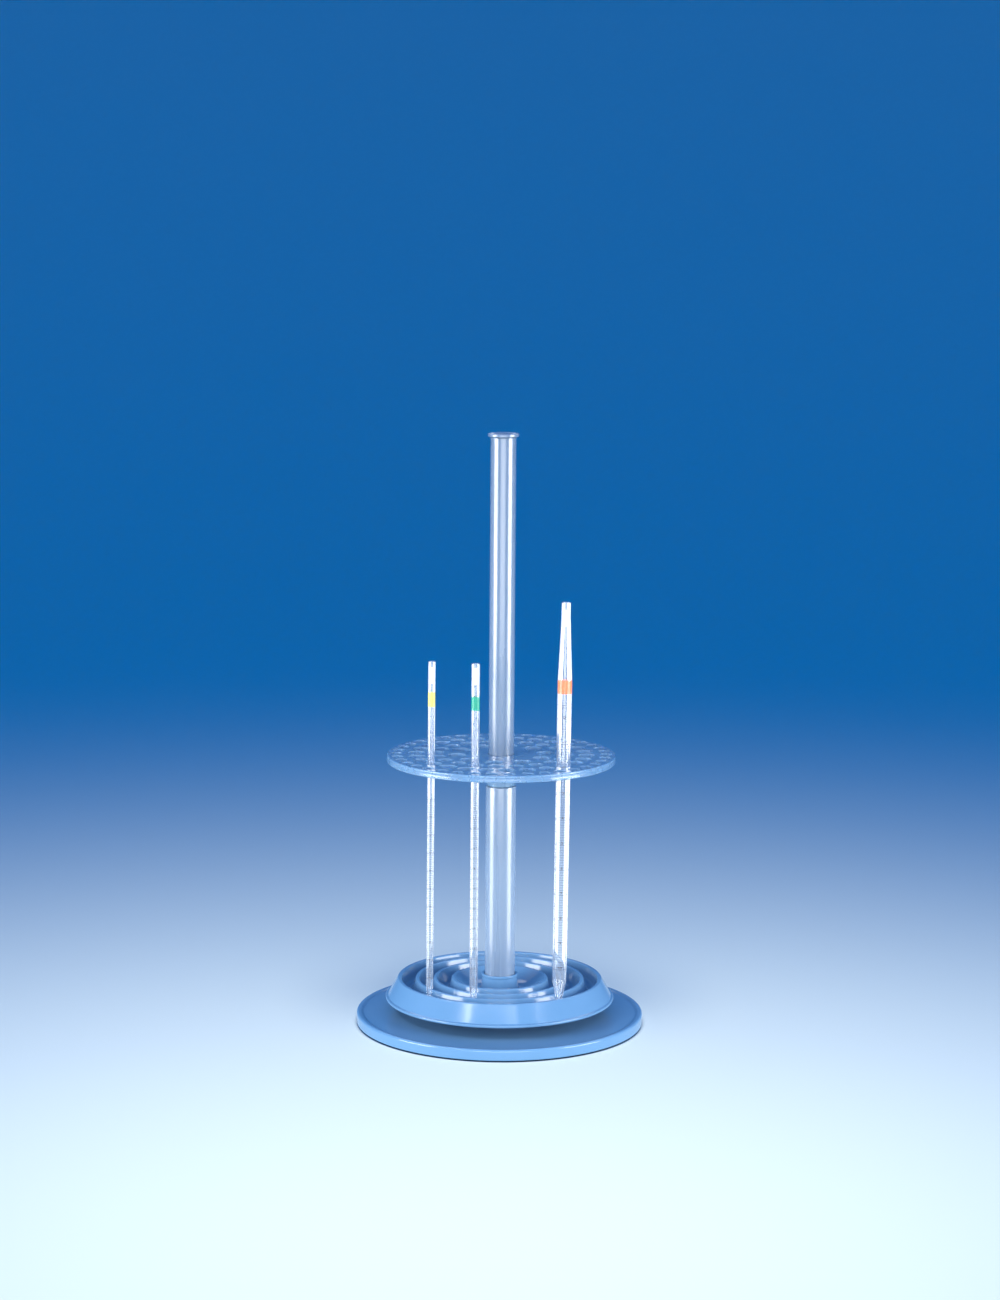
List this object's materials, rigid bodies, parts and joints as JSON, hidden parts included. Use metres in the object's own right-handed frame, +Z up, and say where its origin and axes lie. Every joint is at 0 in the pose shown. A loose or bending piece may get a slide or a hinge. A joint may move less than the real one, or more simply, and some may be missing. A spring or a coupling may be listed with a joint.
{
  "type": "pipette stand with pipettes",
  "caption": "Revolving bench stand for upright pipettes: round base, turning tray with ring troughs, tubular post and perforated disc, with graduated glass pipettes in it.",
  "frame": {"origin": "on the stand's own axis, at the level its rubber feet rest on", "axes": "+Z up along the post, -Y towards the side where the pipettes stand, +X to the right as seen from there"},
  "size_m": [0.218, 0.218, 0.45],
  "materials": {
    "blue_polypropylene": "moulded, semi-gloss",
    "frosted_polypropylene": "translucent, slightly frosted",
    "pipette_glass": "clear, fire-polished",
    "cotton": "fluffy",
    "foot_rubber": "matt",
    "acetal": "satin",
    "steel": "stainless"
  },
  "bodies": {
    "stand_base": {"base_plate": "blue_polypropylene", "rubber_foot_1": "foot_rubber", "rubber_foot_2": "foot_rubber", "rubber_foot_3": "foot_rubber", "rubber_foot_4": "foot_rubber", "glide_ring": "acetal", "pivot_bush": "acetal", "pivot_washer": "steel"},
    "turntable": {"tray": "blue_polypropylene", "pivot_bolt": "steel", "lock_washer": "steel", "pivot_nut": "steel", "lower_tube": "frosted_polypropylene", "perforated_disc": "frosted_polypropylene", "upper_tube": "frosted_polypropylene", "top_cap": "frosted_polypropylene"},
    "yellow_pipette": {"yellow_pipette_glass": "pipette_glass", "yellow_pipette_plug": "cotton"},
    "green_pipette": {"green_pipette_glass": "pipette_glass", "green_pipette_plug": "cotton"},
    "orange_pipette": {"orange_pipette_glass": "pipette_glass", "orange_pipette_plug": "cotton"}
  },
  "joints": [
    {"name": "tray_spin", "type": "hinge", "parent": "stand_base", "child": "turntable", "pos_m": [0, 0, 0.012], "axis": [0, 0, 1], "continuous": true},
    {"name": "yellow_pipette_lift", "type": "slide", "parent": "turntable", "child": "yellow_pipette", "axis": [0.0039, 0.0155, 0.9999], "range_m": [0, 0.2]},
    {"name": "green_pipette_lift", "type": "slide", "parent": "turntable", "child": "green_pipette", "axis": [0.0011, 0.0277, 0.9996], "range_m": [0, 0.2]},
    {"name": "orange_pipette_lift", "type": "slide", "parent": "turntable", "child": "orange_pipette", "axis": [0.0088, 0.0343, 0.9994], "range_m": [0, 0.2]}
  ]
}
